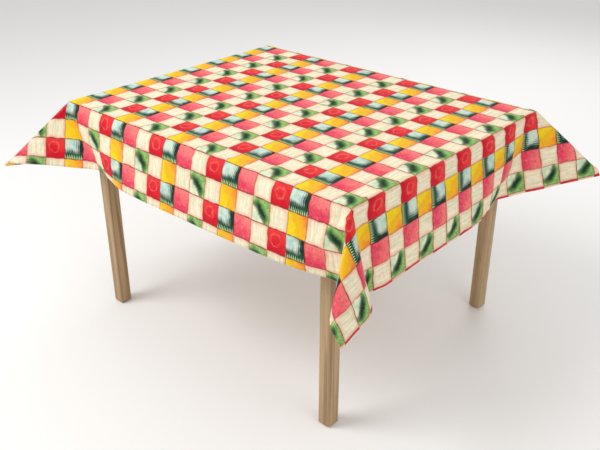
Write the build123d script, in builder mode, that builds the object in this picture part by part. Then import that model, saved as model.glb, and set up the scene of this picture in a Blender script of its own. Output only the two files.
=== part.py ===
"""Rectangular wooden table with a tablecloth laid over it.

Sizes are in millimetres. The origin is on the floor under the middle of the table, +X runs
along the long side, -Y is the front and +Z is up. The table is a glued wooden top on four
square legs. Four aprons butt against the legs and are pulled tight by folded steel brackets
and hanger bolts. The cloth is one sheet, given here as thin flat panels: the part on the top,
a drop on each side and a stiff fold that stands out at each corner.
"""

import os
from math import cos, radians, sin, sqrt, tan

from build123d import *

os.makedirs("parts", exist_ok=True)

# ---------------------------------------------------------------- driving dimensions

TABLE_HEIGHT = 760          # floor to the upper face of the wooden top
TOP_LENGTH = 1200
TOP_WIDTH = 950
TOP_THICK = 27
TOP_CORNER_ROUND = 8        # corners of the top, seen from above
TOP_EDGE_ROUND = 7.5        # upper edge of the top
TOP_LOWER_CHAMFER = 2

LEG_SIDE = 42
LEG_INSET_X = 80            # edge of the top to the outer face of a leg
LEG_INSET_Y = 30
LEG_EDGE_ROUND = 2
LEG_CORNER_CUT = 9          # flat on the inner corner, where the hanger bolt goes in
LEG_CUT_HEIGHT = 86

APRON_HEIGHT = 70
APRON_THICK = 18
APRON_SETBACK = 6           # outer face of a leg to the outer face of an apron

RAIL_WIDTH = 45             # cross rail under the middle of the top
RAIL_HEIGHT = 25

BRACKET_SHEET = 2
BRACKET_HEIGHT = 50
BRACKET_GAP = 3             # leg corner to the bracket's middle plate
BRACKET_FLANGE = 34
BRACKET_BEND = 4

BOLT_RADIUS = 4
BOLT_IN_LEG = 24
BOLT_OUT = 24
WASHER_RADIUS = 10
WASHER_THICK = 1.6
NUT_RADIUS = 7
NUT_HEIGHT = 8
NUT_WING_SPAN = 32
NUT_WING_THICK = 3
NUT_WING_HEIGHT = 14

SCREW_RADIUS = 2
SCREW_HEAD_RADIUS = 4
SCREW_HEAD_HEIGHT = 2.2
SCREW_LENGTH = 14           # thread below the head
SCREW_SPACING = 28          # between the two screws of one bracket flange
RAIL_SCREW_LENGTH = 44
RUNNING_GAP = 0.06          # radial clearance of every screw and bolt in its hole

CLIP_SHEET = 1.5            # angle that holds the top down on an apron
CLIP_WIDTH = 20
CLIP_LEG = 22
CLIP_SPACING = 560          # between the two clips of a long apron
CLIP_SPACING_SHORT = 360

GLIDE_RADIUS = 15
GLIDE_THICK = 3
GLIDE_PIN_RADIUS = 1.5
GLIDE_PIN_LENGTH = 12

CLOTH_THICK = 1.0
CLOTH_OFF_TOP = 0.5         # air under the cloth on the flat top
CLOTH_FLAT_MARGIN = 8       # the cloth leaves the flat top this far inside its edge
CLOTH_BEND = 25             # outer radius where the stiff cloth turns down
DROP_FLARE = 5              # degrees that a drop leans outwards
DROP_FRONT = 207            # how far the hem hangs below the top, side by side
DROP_BACK = 198
DROP_LEFT = 212
DROP_RIGHT = 244
HEM_HEIGHT = 12
FOLD_OUT_OPEN = 173         # tip of a straight corner fold, along X and along Y from the corner
FOLD_OUT_SWEPT_X = 129      # tip of a corner fold that leans sideways
FOLD_OUT_SWEPT_Y = 194
FOLD_DROP_OPEN = 228
FOLD_DROP_SWEPT = 245
FOLD_ROOT_OPEN = 170        # corner to the foot of the fold's face, along the hem
FOLD_ROOT_SWEPT = 80
PANEL_GAP = 1.5             # between two neighbouring cloth panels
FOLD_PANEL_GAP = 3          # margin round each face of a corner fold

# ---------------------------------------------------------------- derived positions

TOP_UNDERSIDE = TABLE_HEIGHT - TOP_THICK
LEG_OUT_X = TOP_LENGTH / 2 - LEG_INSET_X
LEG_OUT_Y = TOP_WIDTH / 2 - LEG_INSET_Y
LEG_IN_X = LEG_OUT_X - LEG_SIDE
LEG_IN_Y = LEG_OUT_Y - LEG_SIDE
APRON_IN = APRON_SETBACK + APRON_THICK                 # leg's outer face to the apron's inner face
APRON_IN_X = LEG_OUT_X - APRON_IN
APRON_IN_Y = LEG_OUT_Y - APRON_IN
APRON_MIDDLE = TOP_UNDERSIDE - APRON_HEIGHT / 2
RAIL_MIDDLE = TOP_UNDERSIDE - RAIL_HEIGHT / 2
CORNERS = {
    "front_left": (-1, -1),
    "front_right": (1, -1),
    "back_right": (1, 1),
    "back_left": (-1, 1),
}
UP = Vector(0, 0, 1)


def finish(name, built):
    """Label a finished piece and write it under its own name."""
    built.part.label = name
    export_step(built.part, f"parts/{name}.step")


def corner_plane(sign_x, sign_y, height):
    """Level plane at a leg's inner corner, its x axis pointing at the middle of the table."""
    return Plane(
        origin=(sign_x * LEG_IN_X, sign_y * LEG_IN_Y, height),
        x_dir=(-sign_x, -sign_y, 0),
        z_dir=(0, 0, 1),
    )


def bolt_plane(sign_x, sign_y, distance):
    """Plane across a hanger bolt, at a distance from the leg's inner corner, facing inwards."""
    inward = Vector(-sign_x, -sign_y, 0).normalized()
    corner = Vector(sign_x * LEG_IN_X, sign_y * LEG_IN_Y, APRON_MIDDLE)
    return Plane(origin=corner + inward * distance, x_dir=(0, 0, 1), z_dir=inward)


def edge_plane(outward, middle=Vector(0, 0, 0)):
    """Upright plane across one side of the table: x points outwards, y points up."""
    return Plane(origin=middle, x_dir=outward, z_dir=outward.cross(UP))


def face_screws(planes, lift, length):
    """Pan-head screws, one on each plane, their heads standing on it after the lift."""
    with BuildPart() as screws:
        for plane in planes:
            with BuildSketch(plane.offset(lift)):
                Circle(SCREW_HEAD_RADIUS)
            extrude(amount=SCREW_HEAD_HEIGHT)
            with BuildSketch(plane.offset(lift)):
                Circle(SCREW_RADIUS)
            extrude(amount=-length)
    return screws


# ---------------------------------------------------------------- where the fasteners go

# distances along an apron from the leg's inner faces to the bend and the end of a bracket
BRACKET_LINE = LEG_SIDE - APRON_IN - BRACKET_SHEET / 2
BRACKET_BEND_AT = BRACKET_LINE + (BRACKET_GAP + BRACKET_SHEET / 2) * sqrt(2)
BRACKET_END_AT = BRACKET_BEND_AT + BRACKET_FLANGE
BRACKET_SCREW_AT = BRACKET_BEND_AT + BRACKET_FLANGE * 0.6

# inner face of each apron: middle point, direction along it, direction into the table
APRON_FACES = {
    "apron_front": (Vector(0, -APRON_IN_Y, APRON_MIDDLE), Vector(1, 0, 0), Vector(0, 1, 0), LEG_IN_X),
    "apron_back": (Vector(0, APRON_IN_Y, APRON_MIDDLE), Vector(1, 0, 0), Vector(0, -1, 0), LEG_IN_X),
    "apron_left": (Vector(-APRON_IN_X, 0, APRON_MIDDLE), Vector(0, 1, 0), Vector(1, 0, 0), LEG_IN_Y),
    "apron_right": (Vector(APRON_IN_X, 0, APRON_MIDDLE), Vector(0, 1, 0), Vector(-1, 0, 0), LEG_IN_Y),
}


def bracket_screw_planes(apron):
    """Planes on an apron's inner face, one for each screw of its two bracket flanges."""
    middle, along, inward, half_length = APRON_FACES[apron]
    reach = half_length - BRACKET_SCREW_AT
    return [
        Plane(origin=middle + along * (side * reach) + UP * (level * SCREW_SPACING / 2), z_dir=inward)
        for side in (-1, 1)
        for level in (-1, 1)
    ]


def clip_origins(apron):
    """Points at the top of an apron's inner face, where its holding-down clips sit."""
    middle, along, _, half_length = APRON_FACES[apron]
    spacing = CLIP_SPACING if half_length == LEG_IN_X else CLIP_SPACING_SHORT
    top = middle + UP * (APRON_HEIGHT / 2)
    return [top + along * (side * spacing / 2) for side in (-1, 1)]


def clip_screw_planes(apron):
    """Planes for the clip screws: on the apron's face, then under the top."""
    inward = APRON_FACES[apron][2]
    into_apron = [Plane(origin=p - UP * (CLIP_LEG * 0.6), z_dir=inward) for p in clip_origins(apron)]
    into_top = [Plane(origin=p + inward * (CLIP_LEG * 0.6), z_dir=(0, 0, -1)) for p in clip_origins(apron)]
    return into_apron, into_top


RAIL_SCREW_PLANES = [
    Plane(
        origin=(side_x * RAIL_WIDTH / 4, side_y * (APRON_IN_Y + APRON_THICK), RAIL_MIDDLE),
        z_dir=(0, side_y, 0),
    )
    for side_x in (-1, 1)
    for side_y in (-1, 1)
]

# ---------------------------------------------------------------- wooden parts

top_screw_planes = [plane for apron in APRON_FACES for plane in clip_screw_planes(apron)[1]]
hole_radius = SCREW_RADIUS + RUNNING_GAP

with BuildPart() as tabletop:
    with BuildSketch(Plane.XY.offset(TOP_UNDERSIDE)):
        RectangleRounded(TOP_LENGTH, TOP_WIDTH, TOP_CORNER_ROUND)
    extrude(amount=TOP_THICK)
    fillet(tabletop.faces().sort_by(Axis.Z)[-1].edges(), radius=TOP_EDGE_ROUND)
    chamfer(tabletop.faces().sort_by(Axis.Z)[0].edges(), length=TOP_LOWER_CHAMFER)
    for plane in top_screw_planes:
        with BuildSketch(plane):
            Circle(hole_radius)
        extrude(amount=-SCREW_LENGTH, mode=Mode.SUBTRACT)
finish("tabletop", tabletop)

for corner, (sign_x, sign_y) in CORNERS.items():
    with BuildPart() as leg:
        with BuildSketch(corner_plane(sign_x, sign_y, GLIDE_THICK)):
            with Locations((-LEG_SIDE / sqrt(2), 0)):
                Rectangle(LEG_SIDE, LEG_SIDE, rotation=45)
        extrude(amount=TOP_UNDERSIDE - GLIDE_THICK)
        fillet(leg.edges().filter_by(Axis.Z), radius=LEG_EDGE_ROUND)
        chamfer(leg.faces().sort_by(Axis.Z)[0].edges(), length=LEG_EDGE_ROUND)
        with BuildSketch(corner_plane(sign_x, sign_y, TOP_UNDERSIDE - LEG_CUT_HEIGHT)):
            Rectangle(2 * LEG_CORNER_CUT, 4 * LEG_CORNER_CUT)
        extrude(amount=LEG_CUT_HEIGHT + GLIDE_THICK, mode=Mode.SUBTRACT)
        with BuildSketch(bolt_plane(sign_x, sign_y, 0)):
            Circle(BOLT_RADIUS + RUNNING_GAP)
        extrude(amount=-(LEG_CORNER_CUT + BOLT_IN_LEG), mode=Mode.SUBTRACT)
        with BuildSketch(Plane.XY.offset(GLIDE_THICK)):
            with Locations((sign_x * (LEG_OUT_X - LEG_SIDE / 2), sign_y * (LEG_OUT_Y - LEG_SIDE / 2))):
                Circle(GLIDE_PIN_RADIUS + RUNNING_GAP)
        extrude(amount=GLIDE_PIN_LENGTH, mode=Mode.SUBTRACT)
    finish(f"leg_{corner}", leg)

for name, (middle, along, inward, half_length) in APRON_FACES.items():
    face = Plane(origin=middle, x_dir=along, z_dir=inward)
    with BuildPart() as apron:
        with BuildSketch(face):
            Rectangle(2 * half_length, APRON_HEIGHT)
        extrude(amount=-APRON_THICK)
        chamfer(apron.edges().group_by(Axis.Z)[0], length=1.5)
        for plane in bracket_screw_planes(name) + clip_screw_planes(name)[0]:
            with BuildSketch(plane):
                Circle(hole_radius)
            extrude(amount=-SCREW_LENGTH, mode=Mode.SUBTRACT)
        if half_length == LEG_IN_X:
            for plane in RAIL_SCREW_PLANES:
                with BuildSketch(plane):
                    Circle(hole_radius)
                extrude(amount=-APRON_THICK, mode=Mode.SUBTRACT)
    finish(name, apron)

with BuildPart() as centre_rail:
    with BuildSketch(Plane.XY.offset(TOP_UNDERSIDE)):
        Rectangle(RAIL_WIDTH, 2 * APRON_IN_Y)
    extrude(amount=-RAIL_HEIGHT)
    chamfer(centre_rail.faces().sort_by(Axis.Z)[0].edges().filter_by(Axis.Y), length=3)
    for plane in RAIL_SCREW_PLANES:
        with BuildSketch(plane):
            Circle(hole_radius)
        extrude(amount=-RAIL_SCREW_LENGTH, mode=Mode.SUBTRACT)
finish("centre_rail", centre_rail)

# ---------------------------------------------------------------- corner brackets and bolts

for corner, (sign_x, sign_y) in CORNERS.items():
    # in the corner plane the two aprons leave the leg at 45 degrees either side of the x axis
    first = Vector(1, 1, 0).normalized()
    second = Vector(1, -1, 0).normalized()
    route = [
        first * BRACKET_END_AT - second * BRACKET_LINE,
        first * BRACKET_BEND_AT - second * BRACKET_LINE,
        second * BRACKET_BEND_AT - first * BRACKET_LINE,
        second * BRACKET_END_AT - first * BRACKET_LINE,
    ]
    with BuildPart() as bracket:
        with BuildSketch(corner_plane(sign_x, sign_y, APRON_MIDDLE - BRACKET_HEIGHT / 2)):
            with BuildLine():
                FilletPolyline(*route, radius=BRACKET_BEND)
            trace(line_width=BRACKET_SHEET)
        extrude(amount=BRACKET_HEIGHT)
        with BuildSketch(bolt_plane(sign_x, sign_y, BRACKET_GAP + BRACKET_SHEET)):
            Circle(BOLT_RADIUS + 0.5)
        extrude(amount=-BRACKET_SHEET * 2, mode=Mode.SUBTRACT)
        for name in APRON_FACES:
            for plane in bracket_screw_planes(name):
                if plane.origin.X * sign_x > 0 and plane.origin.Y * sign_y > 0:
                    with BuildSketch(plane):
                        Circle(SCREW_RADIUS + 0.3)
                    extrude(amount=BRACKET_SHEET * 1.5, mode=Mode.SUBTRACT)
    finish(f"corner_bracket_{corner}", bracket)

with BuildPart() as hanger_bolts:
    for sign_x, sign_y in CORNERS.values():
        with BuildSketch(bolt_plane(sign_x, sign_y, -LEG_CORNER_CUT)):
            Circle(BOLT_RADIUS)
        extrude(amount=-BOLT_IN_LEG + 1)
        with BuildSketch(bolt_plane(sign_x, sign_y, -LEG_CORNER_CUT)):
            Circle(BOLT_RADIUS)
        extrude(amount=LEG_CORNER_CUT + BOLT_OUT)
    chamfer(hanger_bolts.edges().filter_by(GeomType.CIRCLE), length=0.8)
finish("hanger_bolts", hanger_bolts)

WASHER_AT = BRACKET_GAP + BRACKET_SHEET
with BuildPart() as washers:
    for sign_x, sign_y in CORNERS.values():
        with BuildSketch(bolt_plane(sign_x, sign_y, WASHER_AT)):
            Circle(WASHER_RADIUS)
            Circle(BOLT_RADIUS + 0.3, mode=Mode.SUBTRACT)
        extrude(amount=WASHER_THICK)
finish("washers", washers)

with BuildPart() as wing_nuts:
    for sign_x, sign_y in CORNERS.values():
        nut_face = bolt_plane(sign_x, sign_y, WASHER_AT + WASHER_THICK)
        with BuildSketch(nut_face):
            Circle(NUT_RADIUS)
        extrude(amount=NUT_HEIGHT, taper=6)
        wing_face = Plane(origin=nut_face.origin, x_dir=nut_face.x_dir, z_dir=nut_face.y_dir)
        with BuildSketch(wing_face):
            for side in (-1, 1):
                with BuildLine():
                    Polyline(
                        (0, -1.0),
                        (side * NUT_WING_SPAN / 2, -NUT_WING_HEIGHT * 0.75),
                        (side * NUT_WING_SPAN / 2, -NUT_WING_HEIGHT),
                        (side * NUT_WING_SPAN * 0.36, -NUT_WING_HEIGHT * 1.06),
                        (0, -NUT_HEIGHT * 0.95),
                        close=True,
                    )
                make_face()
        extrude(amount=NUT_WING_THICK / 2, both=True)
        with BuildSketch(nut_face):
            Circle(BOLT_RADIUS + RUNNING_GAP)
        extrude(amount=NUT_WING_HEIGHT * 1.5, mode=Mode.SUBTRACT)
finish("wing_nuts", wing_nuts)

bracket_screws = face_screws(
    [plane for apron in APRON_FACES for plane in bracket_screw_planes(apron)],
    BRACKET_SHEET,
    SCREW_LENGTH,
)
finish("bracket_screws", bracket_screws)

# ---------------------------------------------------------------- holding-down clips

with BuildPart() as top_clips:
    for name, (_, _, inward, _) in APRON_FACES.items():
        for point in clip_origins(name):
            # x points into the table and y points down, both from the top of the apron's face
            with BuildSketch(Plane(origin=point, x_dir=inward, z_dir=inward.cross(-UP))):
                with BuildLine():
                    Polyline(
                        (0, 0),
                        (CLIP_LEG, 0),
                        (CLIP_LEG, CLIP_SHEET),
                        (CLIP_SHEET, CLIP_SHEET),
                        (CLIP_SHEET, CLIP_LEG),
                        (0, CLIP_LEG),
                        close=True,
                    )
                make_face()
            extrude(amount=CLIP_WIDTH / 2, both=True)
        into_apron, into_top = clip_screw_planes(name)
        for plane in into_apron + into_top:
            with BuildSketch(plane):
                Circle(SCREW_RADIUS + 0.3)
            extrude(amount=CLIP_SHEET * 1.5, mode=Mode.SUBTRACT)
finish("top_clips", top_clips)

clip_screws = face_screws(
    [plane for apron in APRON_FACES for group in clip_screw_planes(apron) for plane in group],
    CLIP_SHEET,
    SCREW_LENGTH - 1,
)
finish("clip_screws", clip_screws)

rail_screws = face_screws(RAIL_SCREW_PLANES, 0, RAIL_SCREW_LENGTH - 1)
finish("rail_screws", rail_screws)

# ---------------------------------------------------------------- foot glides

for corner, (sign_x, sign_y) in CORNERS.items():
    foot = (sign_x * (LEG_OUT_X - LEG_SIDE / 2), sign_y * (LEG_OUT_Y - LEG_SIDE / 2))
    with BuildPart() as glide:
        with BuildSketch():
            with Locations(foot):
                Circle(GLIDE_RADIUS)
        extrude(amount=GLIDE_THICK)
        fillet(glide.edges().sort_by(Axis.Z)[0], radius=1)
        with BuildSketch(Plane.XY.offset(GLIDE_THICK)):
            with Locations(foot):
                Circle(GLIDE_PIN_RADIUS)
        extrude(amount=GLIDE_PIN_LENGTH - 1)
    finish(f"foot_glide_{corner}", glide)

# ---------------------------------------------------------------- tablecloth

CLOTH_TOP = TABLE_HEIGHT + CLOTH_OFF_TOP + CLOTH_THICK
FLAT_X = TOP_LENGTH / 2 - CLOTH_FLAT_MARGIN            # where the cloth starts to turn down
FLAT_Y = TOP_WIDTH / 2 - CLOTH_FLAT_MARGIN
BEND_LEVEL = CLOTH_TOP - CLOTH_BEND
FLARE = radians(DROP_FLARE)

with BuildPart() as cloth_top:
    with BuildSketch(Plane.XY.offset(CLOTH_TOP - CLOTH_THICK)):
        Rectangle(2 * FLAT_X, 2 * FLAT_Y)
    extrude(amount=CLOTH_THICK)
finish("cloth_top", cloth_top)


def root_of(corner):
    """Length of hem that a corner fold takes from each drop beside it."""
    return FOLD_ROOT_OPEN if corner in ("front_left", "back_right") else FOLD_ROOT_SWEPT


def drop_face(radius, level):
    """How far a leaning face of a drop is outside the bend's centre, at a level below the bend."""
    return radius * cos(FLARE) + (BEND_LEVEL + radius * sin(FLARE) - level) * tan(FLARE)


# each drop: outward direction, distance to the bend, half of its flat width, how far it hangs,
# then the corner folds at the low end and the high end of the side
DROPS = {
    "front": (Vector(0, -1, 0), FLAT_Y, FLAT_X, DROP_FRONT, "front_left", "front_right"),
    "back": (Vector(0, 1, 0), FLAT_Y, FLAT_X, DROP_BACK, "back_left", "back_right"),
    "left": (Vector(-1, 0, 0), FLAT_X, FLAT_Y, DROP_LEFT, "front_left", "back_left"),
    "right": (Vector(1, 0, 0), FLAT_X, FLAT_Y, DROP_RIGHT, "front_right", "back_right"),
}
INNER_RADIUS = CLOTH_BEND - CLOTH_THICK
HEM_RADIUS = INNER_RADIUS - CLOTH_THICK                # inner face of the turned-up hem

for side, (outward, flat, half_width, drop, low_corner, high_corner) in DROPS.items():
    hem_level = TABLE_HEIGHT - drop
    along = Vector(abs(outward.Y), abs(outward.X), 0)
    with BuildPart() as panel:
        with BuildSketch(edge_plane(outward)):
            with BuildLine():
                CenterArc((flat, BEND_LEVEL), CLOTH_BEND, DROP_FLARE, 90 - DROP_FLARE)
                CenterArc((flat, BEND_LEVEL), INNER_RADIUS, DROP_FLARE, 90 - DROP_FLARE)
                Line((flat, CLOTH_TOP - CLOTH_THICK), (flat, CLOTH_TOP))
                Polyline(
                    (flat + INNER_RADIUS * cos(FLARE), BEND_LEVEL + INNER_RADIUS * sin(FLARE)),
                    (flat + drop_face(INNER_RADIUS, hem_level), hem_level),
                    (flat + drop_face(CLOTH_BEND, hem_level), hem_level),
                    (flat + CLOTH_BEND * cos(FLARE), BEND_LEVEL + CLOTH_BEND * sin(FLARE)),
                )
            make_face()
        extrude(amount=half_width, both=True)
        # the drop narrows towards the hem, where the corner folds take over
        front_view = Plane(origin=outward * (flat + 2 * CLOTH_BEND), x_dir=along, z_dir=along.cross(UP))
        for end, corner in ((-1, low_corner), (1, high_corner)):
            root = root_of(corner)
            with BuildSketch(front_view):
                with BuildLine():
                    Polyline(
                        (end * (half_width - PANEL_GAP), BEND_LEVEL),
                        (end * (half_width - root), hem_level - 1),
                        (end * (half_width + root), hem_level - 1),
                        (end * (half_width + root), BEND_LEVEL),
                        close=True,
                    )
                make_face()
            extrude(amount=4 * CLOTH_BEND, both=True, mode=Mode.SUBTRACT)
    finish(f"cloth_drop_{side}", panel)

    # the turned-up hem lies on the inner face of the drop
    hem_start = root_of(low_corner) - half_width + HEM_HEIGHT
    hem_end = half_width - root_of(high_corner) - HEM_HEIGHT
    hem_top = hem_level + HEM_HEIGHT
    with BuildPart() as hem:
        with BuildSketch(edge_plane(outward, along * ((hem_start + hem_end) / 2))):
            with BuildLine():
                Polyline(
                    (flat + drop_face(INNER_RADIUS, hem_level), hem_level),
                    (flat + drop_face(INNER_RADIUS, hem_top), hem_top),
                    (flat + drop_face(HEM_RADIUS, hem_top), hem_top),
                    (flat + drop_face(HEM_RADIUS, hem_level), hem_level),
                    close=True,
                )
            make_face()
        extrude(amount=(hem_end - hem_start) / 2, both=True)
    finish(f"hem_{side}", hem)


def fold_face(top, tip, root):
    """Thin triangular panel of cloth from the table's corner to the fold's tip and its root."""
    normal = (tip - top).cross(root - top).normalized()
    plane = Plane(origin=top, x_dir=tip - top, z_dir=normal)
    with BuildPart() as face:
        with BuildSketch(plane):
            with BuildLine():
                Polyline(*(plane.to_local_coords(point) for point in (top, tip, root)), close=True)
            make_face()
            offset(amount=-FOLD_PANEL_GAP, kind=Kind.INTERSECTION)
        extrude(amount=CLOTH_THICK / 2, both=True)
    return face


for corner, (sign_x, sign_y) in CORNERS.items():
    swept = corner in ("front_right", "back_left")
    out_x, out_y = (FOLD_OUT_SWEPT_X, FOLD_OUT_SWEPT_Y) if swept else (FOLD_OUT_OPEN, FOLD_OUT_OPEN)
    fold_drop = FOLD_DROP_SWEPT if swept else FOLD_DROP_OPEN
    front_or_back, left_or_right = corner.split("_")
    long_hem = TABLE_HEIGHT - DROPS[front_or_back][3]
    short_hem = TABLE_HEIGHT - DROPS[left_or_right][3]
    root = root_of(corner)
    tip_x, tip_y = TOP_LENGTH / 2 + out_x, TOP_WIDTH / 2 + out_y
    long_y = FLAT_Y + drop_face(CLOTH_BEND, long_hem)
    short_x = FLAT_X + drop_face(CLOTH_BEND, short_hem)
    top = Vector(sign_x * (FLAT_X + CLOTH_BEND), sign_y * (FLAT_Y + CLOTH_BEND), BEND_LEVEL)
    tip = Vector(sign_x * tip_x, sign_y * tip_y, TABLE_HEIGHT - fold_drop)
    long_root = Vector(sign_x * (FLAT_X - root), sign_y * long_y, long_hem)
    short_root = Vector(sign_x * short_x, sign_y * (FLAT_Y - root), short_hem)
    finish(f"corner_fold_{corner}_long", fold_face(top, tip, long_root))
    finish(f"corner_fold_{corner}_short", fold_face(top, tip, short_root))
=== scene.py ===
"""A printed cotton tablecloth on a wooden dining table.

The cloth is cut flat, folded over the table by a model of its corner folds, and settled by a short
simulation.
"""

import math

import bpy
import numpy as np
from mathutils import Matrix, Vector


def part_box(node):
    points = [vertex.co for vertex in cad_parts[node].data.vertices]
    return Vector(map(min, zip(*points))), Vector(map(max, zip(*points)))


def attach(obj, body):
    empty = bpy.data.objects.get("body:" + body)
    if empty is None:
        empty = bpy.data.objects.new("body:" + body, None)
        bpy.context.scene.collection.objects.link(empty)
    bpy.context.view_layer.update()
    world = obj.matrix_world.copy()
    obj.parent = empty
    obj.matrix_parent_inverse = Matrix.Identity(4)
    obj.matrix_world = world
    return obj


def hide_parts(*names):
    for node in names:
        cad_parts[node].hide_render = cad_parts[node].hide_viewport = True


# The printed pattern: a block of 4 by 2 squares repeats. The table top is so many squares long and wide.
SQUARES_LONG = 19.0
SQUARES_WIDE = 14.2
# The spikes along the lower edge of a dark kiwi square.
SPIKES = 10

# The cut cloth, in metres: how far it reaches past each edge of the table top, its thickness, and the
# spacing of the grid that is folded and simulated. Its front edge is cut slightly askew.
OVER_LEFT = 0.222
OVER_RIGHT = 0.259
OVER_BACK = 0.207
OVER_FRONT_LEFT = 0.229
OVER_FRONT_RIGHT = 0.221
CLOTH_THICK = 0.0007
GRID = 0.014

# In metres: the hem's depth and the spacing of its points, the stitches' distance from its inner edge,
# their pitch and the thread's radius, and the spacing of the cloth's yarns.
HEM_DEEP = 0.014
HEM_STEP = 0.008
STITCH_EDGE = 0.003
STITCH_PITCH = 0.004
THREAD = 0.00028
YARN = 0.0009

# Rounds of easing at the creases, then the short cloth simulation: its frames, how firmly the drops keep
# their folds, from 0 to 1, its share of gravity, its bending stiffness, and its gap to the wood in metres.
EASE_ROUNDS = 4
DRAPE_FRAMES = 30
DRAPE_HOLD = 0.12
DRAPE_GRAVITY = 0.3
DRAPE_BEND = 8
DRAPE_GAP = 0.001

# The table's wood is glued from staves so wide.
STAVE = 0.064

# The camera, in metres and degrees, with its lens and sensor in millimetres.
CAMERA_PLACE = (1.653, -1.831, 1.613)
CAMERA_AZIMUTH = 42.0
CAMERA_TILT = 27.61
CAMERA_LENS = 47.47
CAMERA_SENSOR = 36.0

# How the cloth bends over the table's edges: the bend's radius at each side, how far a drop leans out, how
# far from a fold its lean evens out, and the cloth's height over the wood before it settles.
BEND = {"left": 0.020, "right": 0.018, "front": 0.032, "back": 0.020}
DROP_LEAN = math.radians(5)
LEAN_SPREAD = 0.24
CLOTH_LIFT = 0.0015

# The folds at the corners, with angles in degrees. A fold's nose points along an azimuth. Beside it the
# cloth runs back to two valleys, each so far into its drop, where the drop leans out by so much. The nose is
# rounded over so many of the NOSE_POINTS points between a valley and it. Between the nose and the left or
# right drop the cloth may bow outwards. Towards the tip the nose turns, by its curl at CURL_REACH metres from
# the corner.
FOLDS = {
    ("left", "front"): dict(azimuth=234, round=4, front=(33, -9), left=(33, -9), bow=0, curl=0),
    ("right", "front"): dict(azimuth=-63, round=7, front=(10, -4), right=(17, 6), bow=0.15, curl=-2),
    ("right", "back"): dict(azimuth=45, round=5, back=(28, -10), right=(40, -3), bow=0, curl=0),
    ("left", "back"): dict(azimuth=135, round=6, back=(30, -10), left=(30, -10), bow=0, curl=0),
}
NOSE_POINTS = 60
CURL_REACH = 0.32

# The nose's slope, in radians, is found by halving this range so many times.
SLOPE_RANGE = (0.2, 1.4)
SLOPE_HALVINGS = 30


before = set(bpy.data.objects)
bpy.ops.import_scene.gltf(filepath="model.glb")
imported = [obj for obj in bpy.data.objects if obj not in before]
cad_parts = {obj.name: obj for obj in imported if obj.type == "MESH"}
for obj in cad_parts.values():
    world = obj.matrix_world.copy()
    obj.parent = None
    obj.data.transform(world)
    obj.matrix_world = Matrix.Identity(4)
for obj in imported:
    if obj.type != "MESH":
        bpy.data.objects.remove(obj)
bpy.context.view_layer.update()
TOP_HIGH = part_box("tabletop")[1]
HALF_X, HALF_Y, TOP_Z = TOP_HIGH.x, TOP_HIGH.y, TOP_HIGH.z
SQUARE_X = 2 * HALF_X / SQUARES_LONG
SQUARE_Y = 2 * HALF_Y / SQUARES_WIDE


# ---------------------------------------------------------------- cloth

def over_front(u):
    """How far the flat cloth reaches past the table's front edge at u."""
    share = (u + HALF_X + OVER_LEFT) / (2 * HALF_X + OVER_LEFT + OVER_RIGHT)
    return OVER_FRONT_LEFT + (OVER_FRONT_RIGHT - OVER_FRONT_LEFT) * share


def crease(side):
    """Where a drop's plane meets the top's, past the wood's edge in space and along the flat cloth."""
    turn = math.pi / 2 - DROP_LEAN
    return BEND[side] * math.tan(turn / 2), BEND[side] * turn / 2


class Drop:
    """One side of a corner fold: where it hangs, and the valley that parts it from the fold."""

    def __init__(self, along, outward, flat_half, hung_half, valley, lean):
        self.along = np.array([*along, 0.0])
        self.outward = np.array([*outward, 0.0])
        self.flat_half, self.hung_half = flat_half, hung_half
        self.valley, self.lean = math.radians(valley), math.radians(lean)
        self.line = self.along * math.sin(self.valley) + self.hang(self.lean) * math.cos(self.valley)

    def hang(self, lean):
        return self.outward * math.sin(lean) - np.array([0, 0, math.cos(lean)])

    def place(self, ahead, deep):
        """A point so far along the flat cloth and so far down it: away from the fold the lean evens out.

        The crease is a little longer than the flat cloth's half side, so the drop's points are spread to
        meet the other corner's drop at the middle of the side.
        """
        start = deep * math.tan(self.valley)
        past = ahead - start
        share = min(1.0, max(0.0, past / LEAN_SPREAD))
        share = share * share * (3 - 2 * share)
        reached = start + past * (self.hung_half - start) / (self.flat_half - start)
        return self.along * reached + self.hang(self.lean + (DROP_LEAN - self.lean) * share) * deep


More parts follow.
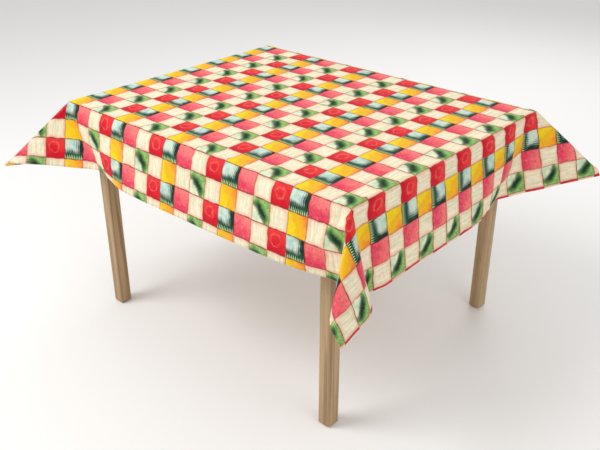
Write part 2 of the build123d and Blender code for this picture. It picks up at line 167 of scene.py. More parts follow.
class CornerFold:
    """The cloth beyond one corner of the table: two drops, and between them a cone that stands out."""

    def __init__(self, sides, azimuth, round, bow, curl, **drops):
        side_x, side_y = sides
        self.sign_x = 1 if side_x == "right" else -1
        self.sign_y = 1 if side_y == "back" else -1
        self.out_x, self.flat_x = crease(side_x)
        self.out_y, self.flat_y = crease(side_y)
        half_x = (HALF_X + self.flat_x, HALF_X + self.out_x)
        half_y = (HALF_Y + self.flat_y, HALF_Y + self.out_y)
        self.drop_x = Drop((0, -self.sign_y), (self.sign_x, 0), *half_y, *drops[side_x])
        self.drop_y = Drop((-self.sign_x, 0), (0, self.sign_y), *half_x, *drops[side_y])
        self.azimuth, self.curl = math.radians(azimuth), math.radians(curl)
        self.round, self.bow = round, bow
        self.first, self.last = -self.drop_x.valley, math.pi / 2 + self.drop_y.valley
        # the cone has to sweep the same angle in space as its cloth does laid flat
        flattest, steepest = SLOPE_RANGE
        for _ in range(SLOPE_HALVINGS):
            slope = (flattest + steepest) / 2
            if self.nose(slope) < self.last - self.first:
                steepest = slope
            else:
                flattest = slope

    def nose(self, slope):
        """Lays the cone's directions from valley over nose to valley, and returns the angle they sweep."""
        ahead = np.array([math.cos(self.azimuth), math.sin(self.azimuth), 0])
        ridge = ahead * math.cos(slope) - np.array([0, 0, math.sin(slope)])
        aside = np.array([-ahead[1], ahead[0], 0]) * self.sign_x * -self.sign_y
        share = np.linspace(0, 1, NOSE_POINTS)[:, None]
        path = np.concatenate([
            self.drop_x.line * (1 - share) + ridge * share + aside * self.bow * np.sin(math.pi * share),
            ridge * (1 - share[1:]) + self.drop_y.line * share[1:],
        ])
        for _ in range(2 * self.round ** 2):
            path[1:-1] = (path[:-2] + path[1:-1] * 2 + path[2:]) / 4
        path /= np.linalg.norm(path, axis=1)[:, None]
        steps = np.arccos(np.clip((path[1:] * path[:-1]).sum(1), -1, 1))
        self.swept = np.concatenate([[0], np.cumsum(steps)])
        self.path = path
        return self.swept[-1]

    def place(self, u, v):
        """Where a point of the flat cloth past this corner hangs, from the table's centre."""
        over_x = self.sign_x * u - HALF_X - self.flat_x
        over_y = self.sign_y * v - HALF_Y - self.flat_y
        corner = np.array([self.sign_x * (HALF_X + self.out_x), self.sign_y * (HALF_Y + self.out_y), 0])
        if over_x <= 0 and over_y <= 0:
            return np.array([u, v, 0.0])
        reach, angle = math.hypot(over_x, over_y), math.atan2(over_y, over_x)
        if angle >= self.last:
            return corner + self.drop_y.place(-over_x, over_y)
        if angle <= self.first:
            return corner + self.drop_x.place(-over_y, over_x)
        swept = (angle - self.first) / (self.last - self.first) * self.swept[-1]
        way = np.array([np.interp(swept, self.swept, self.path[:, axis]) for axis in range(3)])
        between = math.sin(math.pi * (angle - self.first) / (self.last - self.first))
        turn = self.curl * between * (reach / CURL_REACH) ** 3
        x, y, z = way / np.linalg.norm(way) * reach
        turned = (x * math.cos(turn) - y * math.sin(turn), x * math.sin(turn) + y * math.cos(turn), z)
        return corner + np.array(turned)


def flat_grid():
    """The cut cloth laid flat, as rows of points (u, v) measured from the table's centre."""
    columns = round((2 * HALF_X + OVER_LEFT + OVER_RIGHT) / GRID)
    rows = round((2 * HALF_Y + OVER_FRONT_LEFT + OVER_BACK) / GRID)
    u = np.linspace(-HALF_X - OVER_LEFT, HALF_X + OVER_RIGHT, columns + 1)
    front = -HALF_Y - np.array([over_front(x) for x in u])
    share = np.linspace(0, 1, rows + 1)[:, None]
    v = front * (1 - share) + (HALF_Y + OVER_BACK) * share
    return np.stack([np.broadcast_to(u, v.shape), v], axis=-1)


def folded(flat):
    """The flat cloth folded over the table, with sharp creases at the table's edges."""
    folds = {}
    for sides, shape in FOLDS.items():
        fold = CornerFold(sides, **shape)
        folds[fold.sign_x, fold.sign_y] = fold
    points = np.zeros((*flat.shape[:2], 3))
    for row, col in np.ndindex(flat.shape[:2]):
        u, v = flat[row, col]
        points[row, col] = folds[1 if u > 0 else -1, 1 if v > 0 else -1].place(u, v)
    points[..., 2] += TOP_Z + CLOTH_LIFT
    return points


def eased(points, flat, rounds):
    """Rounds the creases: every point off the table top moves towards the middle of its neighbours."""
    loose = np.maximum(np.abs(flat[..., 0]) - HALF_X, np.abs(flat[..., 1]) - HALF_Y) > 0
    for _ in range(rounds):
        padded = np.pad(points, ((1, 1), (1, 1), (0, 0)), mode="reflect", reflect_type="odd")
        middle = (padded[:-2, 1:-1] + padded[2:, 1:-1] + padded[1:-1, :-2] + padded[1:-1, 2:]) / 4
        points = np.where(loose[..., None], points * 0.5 + middle * 0.5, points)
    return points


def grid_faces(rows, columns):
    first = (np.arange(rows - 1)[:, None] * columns + np.arange(columns - 1)).ravel()
    return np.stack([first, first + 1, first + 1 + columns, first + columns], axis=1)


def new_object(name, vertices, faces):
    mesh = bpy.data.meshes.new(name)
    mesh.from_pydata([tuple(p) for p in vertices], [], [tuple(int(i) for i in f) for f in faces])
    mesh.update()
    made = bpy.data.objects.new(name, mesh)
    bpy.context.scene.collection.objects.link(made)
    return made


def draped(points, flat, frames):
    """The folded cloth after a short cloth simulation over the table top, as the same grid of points."""
    rows, columns = points.shape[:2]
    cloth = new_object("drape_trial", points.reshape(-1, 3), grid_faces(rows, columns))
    cloth.shape_key_add(name="Basis")
    cut = cloth.shape_key_add(name="cut")
    laid = np.concatenate([flat, np.full((rows, columns, 1), TOP_Z)], axis=-1)
    cut.data.foreach_set("co", laid.ravel())
    # the cloth over the wood is fixed, the drops are held softly, and the bends between them are free
    held = cloth.vertex_groups.new(name="held")
    inside = np.minimum(HALF_X - np.abs(flat[..., 0]), HALF_Y - np.abs(flat[..., 1])).ravel()
    for index in np.nonzero(inside > GRID)[0]:
        held.add([int(index)], 1.0, "REPLACE")
    for index in np.nonzero(inside <= -GRID)[0]:
        held.add([int(index)], DRAPE_HOLD, "REPLACE")

    table = new_object("drape_table", [], [])
    table.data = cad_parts["tabletop"].data.copy()
    table.modifiers.new("Collision", "COLLISION")
    table.collision.thickness_outer = DRAPE_GAP
    table.collision.cloth_friction = 20

    cloth_modifier = cloth.modifiers.new("Cloth", "CLOTH")
    settings = cloth_modifier.settings
    settings.rest_shape_key = cut
    settings.vertex_group_mass = "held"
    settings.quality = 6
    settings.mass = 0.15
    settings.tension_stiffness = 30
    settings.compression_stiffness = 30
    settings.shear_stiffness = 20
    settings.bending_stiffness = DRAPE_BEND
    settings.tension_damping = 10
    settings.compression_damping = 10
    settings.shear_damping = 10
    settings.bending_damping = 2
    settings.air_damping = 4
    settings.effector_weights.gravity = DRAPE_GRAVITY
    cloth_modifier.collision_settings.distance_min = DRAPE_GAP
    cloth_modifier.collision_settings.collision_quality = 3
    cloth_modifier.point_cache.frame_start = 1
    cloth_modifier.point_cache.frame_end = frames
    for number in range(1, frames + 1):
        bpy.context.scene.frame_set(number)
    bpy.context.view_layer.update()
    evaluated = cloth.evaluated_get(bpy.context.evaluated_depsgraph_get())
    settled = np.zeros(rows * columns * 3)
    evaluated.data.vertices.foreach_get("co", settled)
    bpy.context.scene.frame_set(1)
    for trial in (cloth, table):
        bpy.data.objects.remove(trial)
    return settled.reshape(rows, columns, 3)


def refined(grid):
    """A grid with a new row and column between every two, on a smooth curve through the old points."""
    for _ in range(2):
        ends = np.concatenate([2 * grid[:1] - grid[1:2], grid, 2 * grid[-1:] - grid[-2:-1]])
        between = (9 * (ends[1:-2] + ends[2:-1]) - ends[:-3] - ends[3:]) / 16
        finer = np.empty((2 * len(grid) - 1, *grid.shape[1:]))
        finer[0::2], finer[1::2] = grid, between
        grid = finer.swapaxes(0, 1)
    return grid


class Cloth:
    """The settled cloth: where a flat point (u, v) lies, and which way its outer face looks there."""

    def __init__(self, flat, points):
        self.flat, self.points = flat, points
        self.rows, self.columns = points.shape[:2]
        across, along = np.gradient(points, axis=0), np.gradient(points, axis=1)
        normals = np.cross(along, across)
        self.normals = normals / np.linalg.norm(normals, axis=-1, keepdims=True)

    def front(self, u):
        return -HALF_Y - over_front(u)

    def at(self, u, v):
        column = (u - self.flat[0, 0, 0]) / (self.flat[0, -1, 0] - self.flat[0, 0, 0]) * (self.columns - 1)
        back = HALF_Y + OVER_BACK
        row = (v - self.front(u)) / (back - self.front(u)) * (self.rows - 1)
        col0 = np.clip(column.astype(int), 0, self.columns - 2)
        row0 = np.clip(row.astype(int), 0, self.rows - 2)
        fc, fr = (column - col0)[:, None], (row - row0)[:, None]

        def sample(grid):
            low = grid[row0, col0] * (1 - fc) + grid[row0, col0 + 1] * fc
            high = grid[row0 + 1, col0] * (1 - fc) + grid[row0 + 1, col0 + 1] * fc
            return low * (1 - fr) + high * fr

        normal = sample(self.normals)
        return sample(self.points), normal / np.linalg.norm(normal, axis=1, keepdims=True)

    def loop(self, inset, spacing):
        """Flat points (u, v) all round the cloth, so far in from its edge, at about that spacing."""
        left, right = -HALF_X - OVER_LEFT + inset, HALF_X + OVER_RIGHT - inset
        back = HALF_Y + OVER_BACK - inset
        long_steps = round(2 * (HALF_X + OVER_LEFT) / spacing)
        wide_steps = round(2 * (HALF_Y + OVER_BACK) / spacing)
        long_share, wide_share = np.arange(long_steps) / long_steps, np.arange(wide_steps) / wide_steps
        u = left + (right - left) * long_share
        front = np.stack([u, self.front(u) + inset], axis=1)
        low = self.front(np.array([right, left])) + inset
        rightwards = np.stack([np.full(wide_steps, right), low[0] + (back - low[0]) * wide_share], axis=1)
        backwards = np.stack([right - (right - left) * long_share, np.full(long_steps, back)], axis=1)
        leftwards = np.stack([np.full(wide_steps, left), back - (back - low[1]) * wide_share], axis=1)
        return np.concatenate([front, rightwards, backwards, leftwards])


def lay_print(made, flat):
    """Stores every vertex's place in the printed pattern, counted in squares, as the mesh's UV map."""
    squares = (flat + np.array([HALF_X, HALF_Y])) / np.array([SQUARE_X, SQUARE_Y])
    layer = made.data.uv_layers.new(name="pattern")
    corners = np.zeros(len(made.data.loops), int)
    made.data.loops.foreach_get("vertex_index", corners)
    layer.data.foreach_set("uv", squares[corners].ravel())


def smooth(made):
    made.data.polygons.foreach_set("use_smooth", np.ones(len(made.data.polygons), bool))


def make_cloth(cloth):
    """The cloth as a thin closed shell: a printed outer face, a paler inner face and a rim between."""
    rows, columns = cloth.rows, cloth.columns
    points, normals = cloth.points.reshape(-1, 3), cloth.normals.reshape(-1, 3)
    count = rows * columns
    outer = grid_faces(rows, columns)
    # turned over, yet split along the same diagonal as the outer faces: the shell is thinner than the
    # twist of its most bent quads, and two different diagonals would cut through each other there
    inner = outer[:, [0, 3, 2, 1]] + count
    edge = np.concatenate([
        np.arange(columns), np.arange(1, rows) * columns + columns - 1,
        np.arange(count - 2, count - columns - 1, -1), np.arange(rows - 2, 0, -1) * columns,
    ])
    ahead = np.roll(edge, -1)
    rim = np.stack([ahead, edge, edge + count, ahead + count], axis=1)
    vertices = np.concatenate([points + normals * CLOTH_THICK / 2, points - normals * CLOTH_THICK / 2])
    made = new_object("tablecloth_sheet", vertices, np.concatenate([outer, inner, rim]))
    lay_print(made, np.concatenate([cloth.flat.reshape(-1, 2)] * 2))
    made.data.materials.append(printed_cloth("cotton_print_face", 0.0))
    made.data.materials.append(printed_cloth("cotton_print_reverse", 0.5))
    sides = np.zeros(len(made.data.polygons), np.int32)
    sides[len(outer):len(outer) + len(inner)] = 1
    made.data.polygons.foreach_set("material_index", sides)
    smooth(made)
    return made


def make_hem(cloth):
    """The hem: the edge folded under twice, a flat band on the inner face with a rounded fold."""
    t = CLOTH_THICK
    section = [
        (HEM_DEEP, -0.4 * t), (HEM_DEEP + 0.0003, -1.4 * t), (HEM_DEEP - 0.0002, -2.4 * t),
        (HEM_DEEP / 2, -2.6 * t), (0.0010, -2.4 * t), (-0.0006, -1.9 * t), (-0.0010, -1.0 * t),
        (-0.0007, 0.0), (0.0, 0.6 * t), (0.0012, 0.7 * t), (0.0014, -0.3 * t),
    ]
    rings, prints = [], []
    for inset, height in section:
        flat = cloth.loop(inset, HEM_STEP)
        points, normals = cloth.at(flat[:, 0], flat[:, 1])
        rings.append(points + normals * height)
        turned = -inset if height < -t else inset
        prints.append(cloth.loop(turned, HEM_STEP))
    count, around = len(section), len(rings[0])
    first = (np.arange(count)[:, None] * around + np.arange(around)).ravel()
    along = np.tile((np.arange(around) + 1) % around, count) + np.repeat(np.arange(count) * around, around)
    whole = count * around
    faces = np.stack([first, along, (along + around) % whole, (first + around) % whole], axis=1)
    made = new_object("tablecloth_hem", np.concatenate(rings), faces)
    lay_print(made, np.concatenate(prints))
    made.data.materials.append(printed_cloth("cotton_print_hem", 0.12))
    smooth(made)
    return made


def make_stitches(cloth):
    """The hem's lockstitch: a row of short bowed stitches on the outer face, and one on the inner face."""
    flat = cloth.loop(HEM_DEEP - STITCH_EDGE, STITCH_PITCH)
    points, normals = cloth.at(flat[:, 0], flat[:, 1])
    ahead = np.roll(points, -1, axis=0) - np.roll(points, 1, axis=0)
    ahead /= np.linalg.norm(ahead, axis=1, keepdims=True)
    aside = np.cross(normals, ahead)
    # a stitch's rings: place along it in pitches, height in thread radii, and share of the thread's radius
    stations = ((-0.38, 0.0, 0.5), (-0.2, 0.8, 1.0), (0.2, 0.8, 1.0), (0.38, 0.0, 0.5))
    sides = 4
    stitch = len(stations) * sides
    turns = np.arange(sides) * math.pi / 2
    rings = []
    for face, base in ((1, 0.5 * CLOTH_THICK), (-1, 2.5 * CLOTH_THICK)):
        for along, height, radius in stations:
            centre = points + ahead * along * STITCH_PITCH + normals * face * (base + height * THREAD)
            for turn in turns:
                spoke = normals * math.cos(turn) + aside * math.sin(turn) * face
                rings.append(centre + spoke * radius * THREAD)
    stitches = np.stack(rings, axis=1)
    number, each = len(points), len(rings)
    faces = []
    for start in (0, stitch):
        for ring in range(len(stations) - 1):
            for side in range(sides):
                low, next_side = start + ring * sides, (side + 1) % sides
                faces.append((low + side, low + next_side, low + sides + next_side, low + sides + side))
        last = start + stitch - sides
        faces.append((start + 3, start + 2, start + 1, start))
        faces.append((last, last + 1, last + 2, last + 3))
    faces = (np.array(faces)[None] + np.arange(number)[:, None, None] * each).reshape(-1, 4)
    made = new_object("hem_stitching", stitches.reshape(-1, 3), faces)
    made.data.materials.append(thread())
    smooth(made)
    return made


# ---------------------------------------------------------------- materials

def tint(red, green, blue):
    """A colour as painted, in 0 to 255, as the shader's linear colour."""
    def linear(value):
        value /= 255
        return value / 12.92 if value <= 0.04045 else ((value + 0.055) / 1.055) ** 2.4
    return linear(red), linear(green), linear(blue), 1.0


class Shader:
    """One material's nodes. Every value may be a number, a colour or another node's output."""

    def __init__(self, name):
        self.material = bpy.data.materials.new(name)
        self.material.use_nodes = True
        self.nodes = self.material.node_tree.nodes
        self.links = self.material.node_tree.links
        self.surface = self.nodes["Principled BSDF"]

    def node(self, kind, inputs=(), **settings):
        made = self.nodes.new("ShaderNode" + kind)
        for key, value in settings.items():
            setattr(made, key, value)
        for key, value in dict(inputs).items():
            self.feed(made.inputs[key], value)
        return made

    def feed(self, socket, value):
        if isinstance(value, bpy.types.NodeSocket):
            self.links.new(value, socket)
        else:
            socket.default_value = value

    def finish(self, **inputs):
        for key, value in inputs.items():
            self.feed(self.surface.inputs[key.replace("_", " ")], value)
        return self.material

    def math(self, operation, *values):
        return self.node("Math", enumerate(values), operation=operation).outputs[0]

    def add(self, *values):
        total = values[0]
        for value in values[1:]:
            total = self.math("ADD", total, value)
        return total

    def less(self, first, second):
        return self.math("SUBTRACT", first, second)

    def times(self, *values):
        total = values[0]
        for value in values[1:]:
            total = self.math("MULTIPLY", total, value)
        return total

    def step(self, value, low, high):
        """0 below low and 1 above high, with a smooth rise between. high below low turns it round."""
        inputs = {"Value": value, "From Min": low, "From Max": high}
        return self.node("MapRange", inputs, interpolation_type="SMOOTHSTEP").outputs[0]

    def mix(self, share, first, second):
        inputs = {0: share, 6: first, 7: second}
        return self.node("Mix", inputs, data_type="RGBA").outputs[2]

    def vector(self, x, y, z=0.0):
        return self.node("CombineXYZ", {0: x, 1: y, 2: z}).outputs[0]

    def noise(self, where, scale, detail=2.0, distortion=0.0):
        inputs = {"Vector": where, "Scale": scale, "Detail": detail, "Distortion": distortion}
        return self.node("TexNoise", inputs).outputs[0]

    def bump(self, height, distance, strength=1.0):
        inputs = {"Height": height, "Distance": distance, "Strength": strength}
        return self.node("Bump", inputs).outputs[0]


def paint_cream(s, x, y, edge):
    streaks = s.vector(s.times(x, 9.0), s.times(y, 0.7))
    colour = s.mix(s.step(s.noise(streaks, 1.0, 2), 0.36, 0.68), tint(255, 243, 214), tint(222, 226, 184))
    colour = s.mix(s.times(s.step(s.noise(streaks, 1.7, 2), 0.48, 0.70), 0.7), colour, tint(252, 208, 186))
    return s.mix(s.times(s.step(edge, 0.20, 0.0), 0.75), colour, tint(246, 176, 152))


def paint_red(s, a, b, wash, where):
    """Red flesh with a loose, broken ring of paler brush marks."""
    across, up = s.less(a, 0.46), s.less(b, 0.56)
    far = s.math("SQRT", s.add(s.times(across, across), s.times(up, up)))
    far = s.add(far, s.times(s.less(wash, 0.5), 0.42), s.times(s.less(s.noise(where, 3.4, 1), 0.5), 0.16))
    ring = s.step(s.math("ABSOLUTE", s.less(far, 0.25)), 0.085, 0.0)
    broken = s.step(s.noise(where, 4.3, 2), 0.34, 0.62)
    lit = s.step(s.add(s.times(b, 0.6), s.times(wash, 0.8)), 0.45, 1.05)
    colour = s.mix(lit, tint(212, 12, 40), tint(240, 58, 60))
    return s.mix(s.times(ring, s.add(0.15, s.times(broken, 0.42))), colour, tint(252, 124, 108))


def paint_pink(s, a, b, wash, where):
    lit = s.add(s.times(a, 0.15), s.times(b, 0.55), s.times(wash, 0.6))
    colour = s.mix(s.step(lit, 0.35, 1.0), tint(232, 62, 94), tint(255, 130, 126))
    light = s.step(s.noise(where, 5.0, 2), 0.55, 0.72)
    spots = s.step(s.noise(where, 9.0, 1), 0.60, 0.68)
    colour = s.mix(s.times(light, 0.45), colour, tint(255, 150, 140))
    return s.mix(s.times(spots, 0.5), colour, tint(196, 36, 66))


def paint_orange(s, a, b, wash):
    rise = s.add(s.times(a, 0.62), s.times(b, 0.38), s.times(s.less(wash, 0.5), 0.6))
    colour = s.mix(s.step(rise, 0.20, 0.66), tint(250, 214, 26), tint(252, 184, 40))
    colour = s.mix(s.step(rise, 0.62, 1.0), colour, tint(248, 128, 48))
    shade = s.step(s.math("ABSOLUTE", s.less(rise, 0.46)), 0.13, 0.02)
    return s.mix(s.times(shade, 0.25), colour, tint(214, 158, 24))


def strokes(s, a, b, number):
    """Fine strokes that fan out from a cell's lower left corner."""
    turn = s.math("ARCTAN2", b, s.add(a, 0.02))
    reach = s.math("SQRT", s.add(s.times(a, a), s.times(b, b)))
    return s.noise(s.vector(s.times(turn, number), s.times(reach, 1.6)), 1.0, 1)


def paint_green_kiwi(s, a, b, wash):
    """Pale flesh in the lower left, a dark soft core round it, and green flesh with fine strokes beyond."""
    fine = strokes(s, a, b, 34.0)
    off_a, off_b = s.less(a, 0.04), s.less(b, 0.02)
    reach = s.math("SQRT", s.add(s.times(off_a, off_a), s.times(off_b, off_b)))
    reach = s.add(reach, s.times(s.less(wash, 0.5), 0.24))
    middle = s.math("MINIMUM", s.times(a, b, 4.2), 1.0)
    flesh = s.mix(s.step(wash, 0.40, 0.60), tint(238, 238, 204), tint(200, 226, 186))
    rind = s.mix(s.step(fine, 0.36, 0.64), tint(190, 228, 138), tint(110, 184, 92))
    colour = s.mix(s.step(reach, 0.50, 0.80), flesh, rind)
    wide = s.add(0.08, s.times(middle, 0.19))
    off = s.math("ABSOLUTE", s.less(s.add(reach, s.times(s.less(fine, 0.5), 0.34)), 0.67))
    core = s.step(s.math("DIVIDE", off, wide), 1.5, 0.25)
    colour = s.mix(s.times(core, s.add(0.65, s.times(middle, 0.35))), colour, tint(4, 56, 34))
    return s.mix(s.times(s.step(reach, 0.98, 1.15), 0.4), colour, tint(120, 104, 56))


def paint_dark_kiwi(s, a, b, wash, spikes):
    """Pale flesh in the upper left, dark flesh beyond it, and a row of spikes along the lower edge."""
    down = s.math("SUBTRACT", 1.0, b)
    far = s.add(s.math("SMOOTH_MAX", s.times(a, 0.86), down, 0.20), s.times(s.less(wash, 0.5), 0.30))
    far = s.add(far, s.times(spikes, 0.05))
    pale = s.mix(s.step(wash, 0.42, 0.62), tint(212, 228, 208), tint(176, 212, 204))
    colour = s.mix(s.step(far, 0.46, 0.74), pale, tint(0, 48, 36))
    teeth = s.times(s.step(spikes, 0.1, 0.7), s.step(down, 0.56, 0.78), 0.6)
    colour = s.mix(teeth, colour, tint(60, 132, 92))
    return s.mix(s.step(s.add(down, s.times(spikes, 0.11)), 0.86, 0.95), colour, tint(176, 214, 160))


def printed_cloth(name, faded):
    """Cotton printed with painted squares: cream, red, pink, orange and two kinds of kiwi slice."""
    s = Shader(name)
    place = s.node("UVMap", uv_map="pattern").outputs[0]
    split = s.node("SeparateXYZ", {0: place})
    sway_x = s.noise(place, 1.9, 1)
    sway_y = s.noise(s.vector(split.outputs[1], split.outputs[0], 5.0), 1.9, 1)
    x = s.add(split.outputs[0], s.times(s.less(sway_x, 0.5), 0.10))
    y = s.add(split.outputs[1], s.times(s.less(sway_y, 0.5), 0.10))
    a, b = s.math("FRACT", x), s.math("FRACT", y)
    column = s.math("FLOORED_MODULO", s.math("FLOOR", x), 4.0)
    row = s.math("FLOORED_MODULO", s.math("FLOOR", y), 2.0)
    side_x = s.math("MINIMUM", a, s.math("SUBTRACT", 1.0, a))
    side_y = s.math("MINIMUM", b, s.math("SUBTRACT", 1.0, b))
    edge = s.math("MINIMUM", side_x, side_y)
    flat = s.vector(x, y)
    wash = s.noise(flat, 2.3, 4, 0.4)
    bent = s.add(x, s.times(s.less(wash, 0.5), 0.10))
    spikes = s.math("SINE", s.times(bent, 2 * math.pi * SPIKES))

    squares = [
        (0, 0, paint_orange(s, a, b, wash)),
        (2, 0, paint_green_kiwi(s, a, b, wash)),
        (0, 1, paint_dark_kiwi(s, a, b, wash, spikes)),
        (1, 1, paint_pink(s, a, b, wash, flat)),
        (3, 1, paint_red(s, a, b, wash, flat)),
    ]
    colour = paint_cream(s, x, y, edge)
    for at_column, at_row, painted in squares:
        here = s.times(s.math("COMPARE", column, at_column, 0.5), s.math("COMPARE", row, at_row, 0.5))
        colour = s.mix(here, colour, painted)
    broken = s.step(s.noise(flat, 3.1, 2), 0.30, 0.62)
    line_y = s.times(s.step(side_y, 0.045, 0.012), 0.9)
    line_x = s.times(s.step(side_x, 0.045, 0.008), 0.6)
    line = s.math("MAXIMUM", line_y, line_x)
    colour = s.mix(s.times(line, s.add(s.times(broken, 0.5), 0.5)), colour, tint(122, 44, 34))
    colour = s.mix(s.times(s.step(s.noise(flat, 6.5, 3), 0.35, 0.75), 0.12), colour, tint(110, 70, 50))
    if faded:
        colour = s.mix(faded, colour, tint(244, 236, 226))

    yarn_x = s.math("SINE", s.times(split.outputs[0], math.pi * SQUARE_X / YARN))
    yarn_y = s.math("SINE", s.times(split.outputs[1], math.pi * SQUARE_Y / YARN))
    weave = s.bump(s.times(yarn_x, yarn_y), 0.00012, 0.5)
    rough = s.add(0.72, s.times(s.noise(flat, 9.0, 2), 0.2))
    return s.finish(
        Base_Color=colour, Roughness=rough, Normal=weave,
        Sheen_Weight=0.03, Sheen_Roughness=0.5, Specular_IOR_Level=0.14,
    )


def thread():
    s = Shader("cotton_thread")
    place = s.node("TexCoord").outputs["Object"]
    twist = s.node("TexWave", {"Vector": place, "Scale": 900.0, "Distortion": 1.5}).outputs[1]
    colour = s.mix(s.times(twist, 0.5), tint(246, 232, 214), tint(206, 176, 158))
    rough = s.add(0.6, s.times(twist, 0.2))
    return s.finish(Base_Color=colour, Roughness=rough, Sheen_Weight=0.2, Normal=s.bump(twist, 0.0001))


def wood(name, along, staves=False):
    """Oiled beech: long streaks and fine pores along one axis, with glued staves in the table top."""
    s = Shader(name)
    place = s.node("SeparateXYZ", {0: s.node("TexCoord").outputs["Object"]})
    axes = [place.outputs[i] for i in range(3)]
    length = axes.pop(along)
    tone = 0.5
    if staves:
        stave = s.math("FLOOR", s.math("DIVIDE", axes[0], STAVE))
        tone = s.node("TexWhiteNoise", {"W": stave}, noise_dimensions="1D").outputs[0]
        axes[1] = s.add(axes[1], s.times(stave, 0.37))
    grain = s.vector(s.times(axes[0], 60.0), s.times(axes[1], 60.0), s.times(length, 1.6))
    pores = s.vector(s.times(axes[0], 420.0), s.times(axes[1], 420.0), s.times(length, 22.0))
    streak, pore = s.noise(grain, 1.0, 4, 0.6), s.noise(pores, 1.0, 2)
    broad = s.noise(s.vector(s.times(axes[0], 9.0), s.times(axes[1], 9.0), s.times(length, 0.8)), 1.0, 2)
    colour = s.mix(s.step(streak, 0.34, 0.66), tint(148, 118, 82), tint(188, 158, 120))
    colour = s.mix(s.times(s.step(broad, 0.35, 0.7), 0.45), colour, tint(200, 172, 134))
    colour = s.mix(s.times(s.step(pore, 0.60, 0.72), 0.45), colour, tint(118, 88, 56))
    height = s.add(s.times(streak, 0.5), s.times(pore, -0.5))
    if staves:
        colour = s.mix(s.times(tone, 0.3), colour, tint(216, 184, 138))
        joint = s.math("FRACT", s.math("DIVIDE", axes[0], STAVE))
        seam = s.step(s.math("MINIMUM", joint, s.math("SUBTRACT", 1.0, joint)), 0.012, 0.002)
        colour = s.mix(s.times(seam, 0.6), colour, tint(98, 70, 44))
        height = s.less(height, s.times(seam, 0.8))
    rough = s.add(0.46, s.times(streak, 0.14), s.times(pore, 0.10))
    relief = s.bump(height, 0.0004, 0.6)
    return s.finish(Base_Color=colour, Roughness=rough, Normal=relief, Specular_IOR_Level=0.4)


def steel():
    s = Shader("zinc_plated_steel")
    place = s.node("TexCoord").outputs["Object"]
    spangle = s.node("TexVoronoi", {"Vector": place, "Scale": 260.0}).outputs[0]
    brushed = s.noise(place, 900.0, 2)
    dull = s.noise(place, 35.0, 3)
    colour = s.mix(s.step(dull, 0.4, 0.7), tint(196, 198, 202), tint(156, 158, 164))
    rough = s.add(0.26, s.times(brushed, 0.10), s.times(dull, 0.16), s.times(spangle, 0.05))
    return s.finish(Base_Color=colour, Metallic=1.0, Roughness=rough, Normal=s.bump(brushed, 0.00008, 0.5))


def plastic():
    s = Shader("glide_plastic")
    place = s.node("TexCoord").outputs["Object"]
    grit, scuffs = s.noise(place, 1400.0, 2), s.noise(place, 90.0, 4, 1.5)
    colour = s.mix(s.step(scuffs, 0.55, 0.72), tint(58, 50, 42), tint(96, 86, 74))
    rough = s.add(0.42, s.times(scuffs, 0.3))
    return s.finish(Base_Color=colour, Roughness=rough, Normal=s.bump(grit, 0.00006, 0.6))


def paint_cad_nodes():
    """Gives every CAD node that stays in view its material, with the wood's grain along each piece."""
    legs, long_rails, short_rails = wood("beech_leg", 2), wood("beech_long", 0), wood("beech_short", 1)
    kinds = {
        "leg_": legs, "apron_front": long_rails, "apron_back": long_rails, "apron_": short_rails,
        "centre_rail": short_rails, "tabletop": wood("beech_top", 0, staves=True), "foot_glide_": plastic(),
    }
    metal = steel()
    for name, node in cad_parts.items():
        if name.startswith(("cloth_", "hem_", "corner_fold_")):
            continue
        material = next((kinds[start] for start in kinds if name.startswith(start)), metal)
        for place in node.material_slots:
            place.material = material


# ---------------------------------------------------------------- room, light and camera

def make_floor():
    half = 14.0
    corners = [(-half, -half, 0), (half, -half, 0), (half, half, 0), (-half, half, 0)]
    floor = new_object("floor", corners, [(0, 1, 2, 3)])
    s = Shader("pale_floor")
    place = s.node("TexCoord").outputs["Object"]
    rough = s.add(0.75, s.times(s.noise(place, 3.0), 0.1))
    floor.data.materials.append(s.finish(Base_Color=tint(250, 249, 247), Roughness=rough))


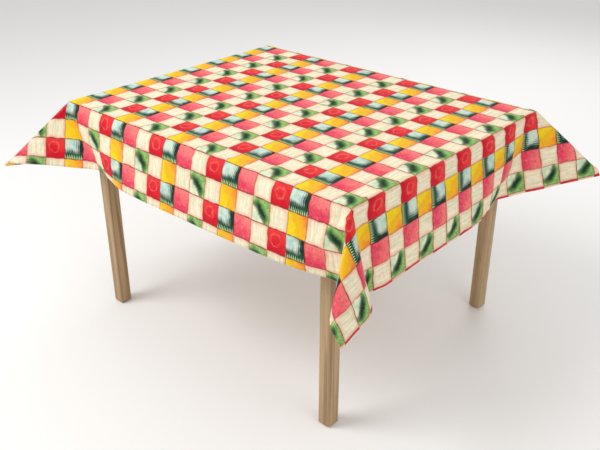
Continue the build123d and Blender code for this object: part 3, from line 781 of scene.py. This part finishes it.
def make_light(name, place, target, size, power):
    lamp = bpy.data.lights.new(name, "AREA")
    lamp.shape, lamp.size, lamp.energy = "DISK", size, power
    made = bpy.data.objects.new(name, lamp)
    made.location = place
    made.rotation_mode = "QUATERNION"
    made.rotation_quaternion = (Vector(target) - Vector(place)).to_track_quat("-Z", "Y")
    bpy.context.scene.collection.objects.link(made)


def make_room():
    make_floor()
    middle = (0, 0, 0.7)
    make_light("key", (-1.6, -2.6, 3.6), middle, 2.4, 96)
    make_light("fill", (3.2, -0.6, 2.6), middle, 2.6, 20)
    make_light("back", (-0.8, 3.4, 3.0), middle, 2.4, 34)
    world = bpy.data.worlds.new("studio")
    world.use_nodes = True
    sky = world.node_tree.nodes["Background"]
    sky.inputs[0].default_value = (1.0, 1.0, 1.0, 1.0)
    sky.inputs[1].default_value = 0.62
    bpy.context.scene.world = world
    bpy.context.scene.view_settings.view_transform = "Standard"


def make_camera():
    """From the front right, 2.6 m from the middle of the table top, at a standing person's eye height."""
    lens = bpy.data.cameras.new("camera")
    lens.sensor_width, lens.lens = CAMERA_SENSOR, CAMERA_LENS
    made = bpy.data.objects.new("camera", lens)
    turn, tilt = math.radians(CAMERA_AZIMUTH), math.radians(CAMERA_TILT)
    back = Vector((math.sin(turn) * math.cos(tilt), -math.cos(turn) * math.cos(tilt), math.sin(tilt)))
    made.location = CAMERA_PLACE
    made.rotation_mode = "QUATERNION"
    made.rotation_quaternion = (-back).to_track_quat("-Z", "Y")
    bpy.context.scene.collection.objects.link(made)
    bpy.context.scene.camera = made


# ---------------------------------------------------------------- the scene

def make_tablecloth():
    flat = flat_grid()
    points = eased(folded(flat), flat, EASE_ROUNDS)
    points = draped(points, flat, DRAPE_FRAMES)
    cloth = Cloth(refined(flat), refined(points))
    sheet, hem, stitches = make_cloth(cloth), make_hem(cloth), make_stitches(cloth)
    nodes = list(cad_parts)
    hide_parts(*[n for n in nodes if n.startswith(("cloth_", "corner_fold_"))])
    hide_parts(*[n for n in nodes if n.startswith("hem_")])
    for piece, slot in ((sheet, "printed_cloth"), (hem, "hem_cloth"), (stitches, "hem_cloth")):
        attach(piece, "tablecloth")


make_camera()
make_room()
paint_cad_nodes()
make_tablecloth()
